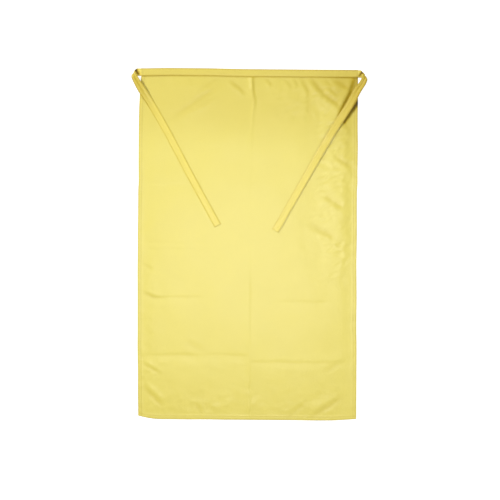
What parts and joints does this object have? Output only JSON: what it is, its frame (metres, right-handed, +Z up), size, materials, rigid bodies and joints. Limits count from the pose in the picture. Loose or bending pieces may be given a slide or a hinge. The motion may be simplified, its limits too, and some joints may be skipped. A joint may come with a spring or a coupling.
{
  "type": "long waist apron",
  "caption": "Long waist apron lying flat: a hemmed rectangular panel, a narrow folded waistband and a tie turned back from each top corner.",
  "frame": {"origin": "under the middle of the apron, on the surface that it lies on", "axes": "+X to the apron's right as seen from the front, +Y towards the waistband, +Z up through the front of the cloth"},
  "size_m": [0.6032, 0.9, 0.0132],
  "materials": {
    "apron_cloth": "smooth plain-weave cotton blend with a soft satin sheen, pressed, with packing creases",
    "waistband_cloth": "the same cloth folded and topstitched",
    "tie_cloth": "the same cloth folded into a narrow tape and stitched along both edges",
    "sewing_thread": "spun polyester thread, slightly deeper than the cloth"
  },
  "bodies": {
    "waist": {"upper_panel": "apron_cloth", "panel_crease": "apron_cloth", "upper_left_hem": "apron_cloth", "upper_right_hem": "apron_cloth", "waistband": "waistband_cloth", "left_tie_root": "tie_cloth", "right_tie_root": "tie_cloth", "upper_left_hem_seam": "sewing_thread", "upper_right_hem_seam": "sewing_thread", "waistband_seam": "sewing_thread", "left_tie_tack": "sewing_thread", "right_tie_tack": "sewing_thread"},
    "lower_half": {"lower_panel": "apron_cloth", "lower_left_hem": "apron_cloth", "lower_right_hem": "apron_cloth", "bottom_hem": "apron_cloth", "lower_left_hem_seam": "sewing_thread", "lower_right_hem_seam": "sewing_thread", "bottom_hem_seam": "sewing_thread"},
    "left_tie": {"left_tie_roll": "tie_cloth", "left_tie": "tie_cloth", "left_tie_inner_seam": "sewing_thread", "left_tie_outer_seam": "sewing_thread", "left_tie_end_seam": "sewing_thread"},
    "right_tie": {"right_tie_roll": "tie_cloth", "right_tie": "tie_cloth", "right_tie_inner_seam": "sewing_thread", "right_tie_outer_seam": "sewing_thread", "right_tie_end_seam": "sewing_thread"}
  },
  "joints": [
    {"name": "panel_fold", "type": "hinge", "parent": "waist", "child": "lower_half", "pos_m": [0, -0.012, 0.0073], "axis": [-1, 0, 0], "range_deg": [0, 180], "deforming": ["panel_crease"]},
    {"name": "left_tie_unfold", "type": "hinge", "parent": "waist", "child": "left_tie", "pos_m": [-0.29054, 0.43549, 0.0069], "axis": [-0.5045, -0.8634, 0], "range_deg": [0, 181.5], "deforming": ["left_tie_roll"]},
    {"name": "right_tie_unfold", "type": "hinge", "parent": "waist", "child": "right_tie", "pos_m": [0.29054, 0.43549, 0.0069], "axis": [-0.5045, 0.8634, 0], "range_deg": [0, 181.5], "deforming": ["right_tie_roll"]}
  ]
}
